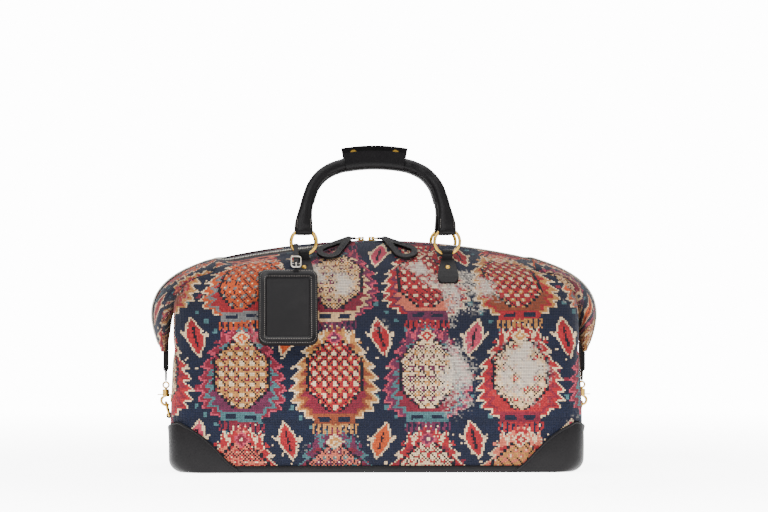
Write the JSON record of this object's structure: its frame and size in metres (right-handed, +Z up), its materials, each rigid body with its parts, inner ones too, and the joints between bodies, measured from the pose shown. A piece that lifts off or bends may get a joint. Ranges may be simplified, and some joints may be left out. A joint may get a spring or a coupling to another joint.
{
  "type": "carpet bag",
  "caption": "Soft weekend bag of patterned carpet with a leather base, arched zip top, folded ears clipped to its ends, twin ring-hung leather handles and a luggage tag.",
  "frame": {"origin": "centre of the base, on the surface that the bag stands on", "axes": "+X along the bag to its right end as seen from the front, +Y to the back, +Z up"},
  "size_m": [0.5462, 0.2532, 0.3994],
  "materials": {
    "carpet": "knotted wool pile, worn in places",
    "black_leather": "grained, semi-gloss",
    "lining_cloth": "plain twill",
    "board": "plain fibreboard",
    "card": "plain card",
    "zip_tape": "woven tape",
    "zip_metal": "aged nickel-plated teeth",
    "brass": "pale polished",
    "dark_metal": "blackened wire",
    "nickel": "polished nickel",
    "handle_cord": "twisted paper cord"
  },
  "bodies": {
    "bag": {"carpet_front": "carpet", "carpet_back": "carpet", "gusset_left": "carpet", "gusset_right": "carpet", "base_leather": "black_leather", "lining": "lining_cloth", "base_board": "board", "zip_tape_front": "zip_tape", "zip_teeth_front": "zip_metal", "corner_patch_front_left": "black_leather", "chape_front_left": "black_leather", "corner_patch_front_right": "black_leather", "chape_front_right": "black_leather", "zip_tape_back": "zip_tape", "zip_teeth_back": "zip_metal", "corner_patch_back_left": "black_leather", "chape_back_left": "black_leather", "corner_patch_back_right": "black_leather", "chape_back_right": "black_leather", "swivel_eye_left": "brass", "ear_tab_left": "black_leather", "end_chape_left": "black_leather", "link_left": "dark_metal", "swivel_eye_right": "brass", "ear_tab_right": "black_leather", "end_chape_right": "black_leather", "link_right": "dark_metal", "chape_rivets": "brass"},
    "ring_front_left": {"ring_front_left": "brass"},
    "ring_front_right": {"ring_front_right": "brass"},
    "handle_front": {"handle_front": "black_leather", "handle_cord_front": "handle_cord", "keeper": "black_leather", "keeper_snaps": "dark_metal"},
    "ring_back_left": {"ring_back_left": "brass"},
    "ring_back_right": {"ring_back_right": "brass"},
    "handle_back": {"handle_back": "black_leather", "handle_cord_back": "handle_cord"},
    "tag_strap": {"tag_strap": "black_leather", "buckle_frame": "nickel"},
    "buckle_prong": {"buckle_prong": "nickel"},
    "tag": {"tag_case": "black_leather", "tag_card": "card"},
    "slider_left": {"zip_slider_left": "brass"},
    "pull_left": {"pull_shackle_left": "brass", "pull_loop_left": "black_leather"},
    "hook_left": {"snap_hook_left": "brass"},
    "trigger_left": {"trigger_left": "brass"},
    "d_ring_left": {"d_ring_left": "brass"},
    "slider_right": {"zip_slider_right": "brass"},
    "pull_right": {"pull_shackle_right": "brass", "pull_loop_right": "black_leather"},
    "hook_right": {"snap_hook_right": "brass"},
    "trigger_right": {"trigger_right": "brass"},
    "d_ring_right": {"d_ring_right": "brass"}
  },
  "joints": [
    {"name": "ring_front_fold", "type": "hinge", "parent": "bag", "child": "ring_front_left", "pos_m": [-0.088, -0.048, 0.26488], "axis": [1, 0, 0], "range_deg": [0, 95]},
    {"name": "ring_front_right_fold", "type": "hinge", "parent": "bag", "child": "ring_front_right", "pos_m": [0.088, -0.048, 0.26488], "axis": [1, 0, 0], "range_deg": [0, 95]},
    {"name": "handle_front_fold", "type": "hinge", "parent": "ring_front_left", "child": "handle_front", "pos_m": [-0.088, -0.048, 0.29334], "axis": [1, 0, 0], "range_deg": [0, 50]},
    {"name": "ring_back_fold", "type": "hinge", "parent": "bag", "child": "ring_back_left", "pos_m": [-0.088, 0.048, 0.26488], "axis": [-1, 0, 0], "range_deg": [0, 95]},
    {"name": "ring_back_right_fold", "type": "hinge", "parent": "bag", "child": "ring_back_right", "pos_m": [0.088, 0.048, 0.26488], "axis": [-1, 0, 0], "range_deg": [0, 95]},
    {"name": "handle_back_fold", "type": "hinge", "parent": "ring_back_left", "child": "handle_back", "pos_m": [-0.088, 0.048, 0.29334], "axis": [-1, 0, 0], "range_deg": [0, 60]},
    {"name": "strap_hang", "type": "hinge", "parent": "ring_front_left", "child": "tag_strap", "pos_m": [-0.0978, -0.048, 0.26946], "axis": [1, 0, 0], "range_deg": [-95, 0]},
    {"name": "tag_swing", "type": "hinge", "parent": "tag_strap", "child": "tag", "pos_m": [-0.0978, -0.07505, 0.24277], "axis": [1, 0, 0], "range_deg": [-50, 0]},
    {"name": "prong_lift", "type": "hinge", "parent": "tag_strap", "child": "buckle_prong", "pos_m": [-0.0978, -0.06914, 0.25266], "axis": [1, 0, 0], "range_deg": [-40, 0]},
    {"name": "slider_left_run", "type": "hinge", "parent": "bag", "child": "slider_left", "pos_m": [0, 0, -0.589], "axis": [0, -1, 0], "range_deg": [0, 12.2], "deforming": ["pull_loop_left"]},
    {"name": "pull_left_flip", "type": "hinge", "parent": "slider_left", "child": "pull_left", "pos_m": [-0.01655, 0, 0.28369], "axis": [0, 1, 0], "range_deg": [0, 85]},
    {"name": "hook_left_swivel", "type": "hinge", "parent": "bag", "child": "hook_left", "pos_m": [-0.2585, 0, 0.0968], "axis": [0, 0, 1], "range_deg": [-15, 15]},
    {"name": "d_ring_left_tilt", "type": "hinge", "parent": "bag", "child": "d_ring_left", "pos_m": [-0.2542, 0, 0.0648], "axis": [0, 1, 0], "range_deg": [-3, 3]},
    {"name": "trigger_left_press", "type": "hinge", "parent": "hook_left", "child": "trigger_left", "pos_m": [-0.257, 0, 0.0902], "axis": [0, 1, 0], "range_deg": [0, 10], "stiffness_Nm_per_rad": 0.002},
    {"name": "slider_right_run", "type": "hinge", "parent": "bag", "child": "slider_right", "pos_m": [0, 0, -0.589], "axis": [0, 1, 0], "range_deg": [0, 13.06], "deforming": ["pull_loop_right"]},
    {"name": "pull_right_flip", "type": "hinge", "parent": "slider_right", "child": "pull_right", "pos_m": [-0.00351, 0, 0.28384], "axis": [0, -1, 0], "range_deg": [0, 85]},
    {"name": "hook_right_swivel", "type": "hinge", "parent": "bag", "child": "hook_right", "pos_m": [0.2585, 0, 0.0968], "axis": [0, 0, 1], "range_deg": [-15, 15]},
    {"name": "d_ring_right_tilt", "type": "hinge", "parent": "bag", "child": "d_ring_right", "pos_m": [0.2542, 0, 0.0648], "axis": [0, 1, 0], "range_deg": [-3, 3]},
    {"name": "trigger_right_press", "type": "hinge", "parent": "hook_right", "child": "trigger_right", "pos_m": [0.257, 0, 0.0902], "axis": [0, -1, 0], "range_deg": [0, 10], "stiffness_Nm_per_rad": 0.002}
  ],
  "couplings": [
    {"joint": "ring_front_right_fold", "follows": "ring_front_fold", "ratio": 1},
    {"joint": "ring_back_right_fold", "follows": "ring_back_fold", "ratio": 1},
    {"joint": "strap_hang", "follows": "ring_front_fold", "ratio": -1}
  ]
}
